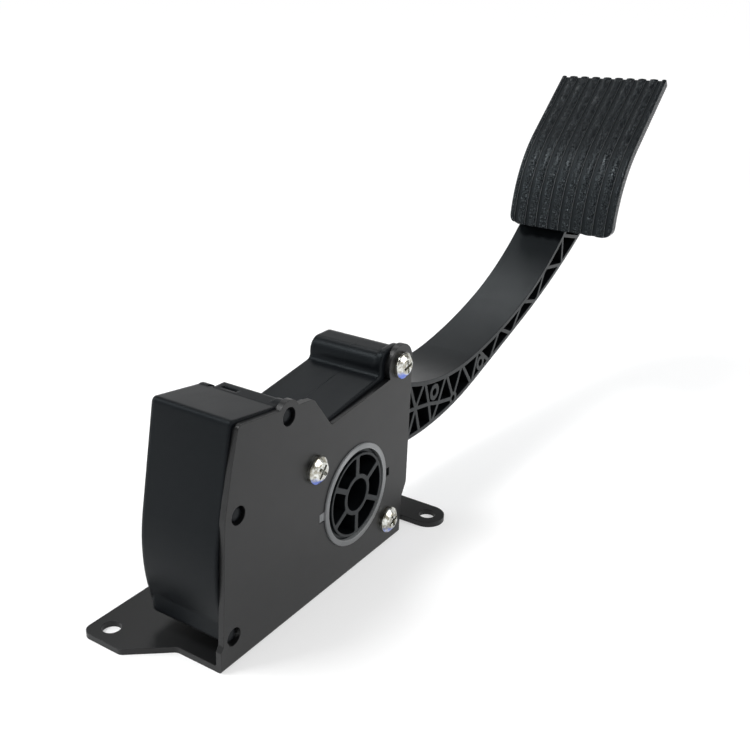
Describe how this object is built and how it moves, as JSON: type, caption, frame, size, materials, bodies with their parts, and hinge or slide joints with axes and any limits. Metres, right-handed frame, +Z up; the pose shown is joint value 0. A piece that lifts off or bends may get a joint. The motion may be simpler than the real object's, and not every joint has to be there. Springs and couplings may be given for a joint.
{
  "type": "accelerator pedal",
  "caption": "Electronic accelerator pedal: folded steel bracket, moulded housing with return springs, lattice-ribbed arm on a spoked hub, and a grooved rubber tread.",
  "frame": {"origin": "on the underside of the bracket's base, straight below the pivot, in the arm's middle plane", "axes": "+X from the spring tower towards the tread, +Y from the side plate towards the sensor, +Z up from the base; the pivot axis is along Y"},
  "size_m": [0.3613, 0.0814, 0.1824],
  "materials": {
    "bracket_steel": "satin black coating",
    "housing_plastic": "satin moulded black",
    "arm_plastic": "fine satin moulded black",
    "tread_rubber": "grained black",
    "bush_polymer": "smooth light grey",
    "spring_steel": "drawn wire",
    "seat_plastic": "smooth moulded dark grey",
    "pin_steel": "ground",
    "shoe_plastic": "smooth moulded",
    "stop_rubber": "smooth black",
    "zinc_screw": "bright zinc",
    "insert_brass": "knurled brass",
    "magnet_metal": "sintered grey",
    "board_laminate": "green solder mask",
    "cover_plastic": "satin moulded black",
    "seal_rubber": "smooth",
    "pin_tin": "tinned"
  },
  "bodies": {
    "bracket": {"mounting_bracket": "bracket_steel", "housing": "housing_plastic", "near_hub_bush": "bush_polymer", "far_hub_bush": "bush_polymer", "outer_return_spring": "spring_steel", "inner_return_spring": "spring_steel", "upper_spring_seat": "seat_plastic", "friction_shoe": "shoe_plastic", "friction_leaf_spring": "spring_steel", "idle_stop_bumper": "stop_rubber", "full_stop_bumper": "stop_rubber", "plate_screws": "zinc_screw", "threaded_inserts": "insert_brass", "sensor_board": "board_laminate", "sensor_cover": "cover_plastic", "cover_seal": "seal_rubber", "connector_pins": "pin_tin", "cover_screws": "zinc_screw"},
    "pedal": {"pedal_arm": "arm_plastic", "tread_pad": "tread_rubber", "seat_pin": "pin_steel", "magnet_holder": "seat_plastic", "sensor_magnet": "magnet_metal"},
    "lower_seat": {"lower_spring_seat": "seat_plastic"}
  },
  "joints": [
    {"name": "arm_pivot", "type": "hinge", "parent": "bracket", "child": "pedal", "pos_m": [0, 0, 0.0355], "axis": [0, 1, 0], "range_deg": [0, 18], "stiffness_Nm_per_rad": 19, "springref_deg": -14.9, "deforming": ["outer_return_spring", "inner_return_spring"]},
    {"name": "seat_pivot", "type": "hinge", "parent": "pedal", "child": "lower_seat", "pos_m": [-0.0585, 0, 0.0262], "axis": [0, 1, 0], "range_deg": [-18, 0]}
  ],
  "couplings": [
    {"joint": "seat_pivot", "follows": "arm_pivot", "ratio": -1}
  ]
}
